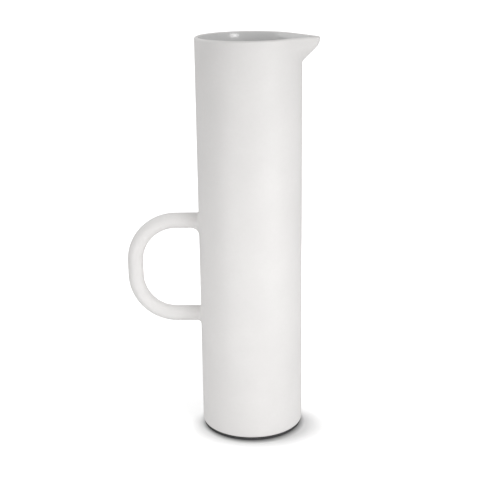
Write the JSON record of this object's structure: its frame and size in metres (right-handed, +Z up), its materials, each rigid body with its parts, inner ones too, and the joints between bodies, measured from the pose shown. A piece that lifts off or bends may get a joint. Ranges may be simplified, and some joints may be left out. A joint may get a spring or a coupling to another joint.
{
  "type": "water jug",
  "caption": "Tall straight-sided ceramic water jug with a pinched pouring spout, a round-bar D handle and a dark anti-slip foot ring.",
  "frame": {"origin": "centre of the anti-slip ring's flat underside, on the axis of the round wall", "axes": "+Z up along the wall's axis, +X towards the spout's tip, -X towards the handle, XZ is the mirror plane"},
  "size_m": [0.1498, 0.08, 0.31],
  "materials": {
    "satin_glaze": "white porcelain under a satin glaze",
    "bare_clay": "fired clay, unglazed on the underside",
    "gloss_glaze": "clear gloss glaze over white porcelain",
    "anti_slip": "matt charcoal elastomer"
  },
  "bodies": {
    "root": {"body_wall": "satin_glaze", "base": "bare_clay", "spout": "satin_glaze", "handle": "satin_glaze", "upper_fillet": "satin_glaze", "lower_fillet": "satin_glaze", "inside_glaze": "gloss_glaze", "spout_glaze": "gloss_glaze", "anti_slip_ring": "anti_slip"}
  },
  "joints": []
}
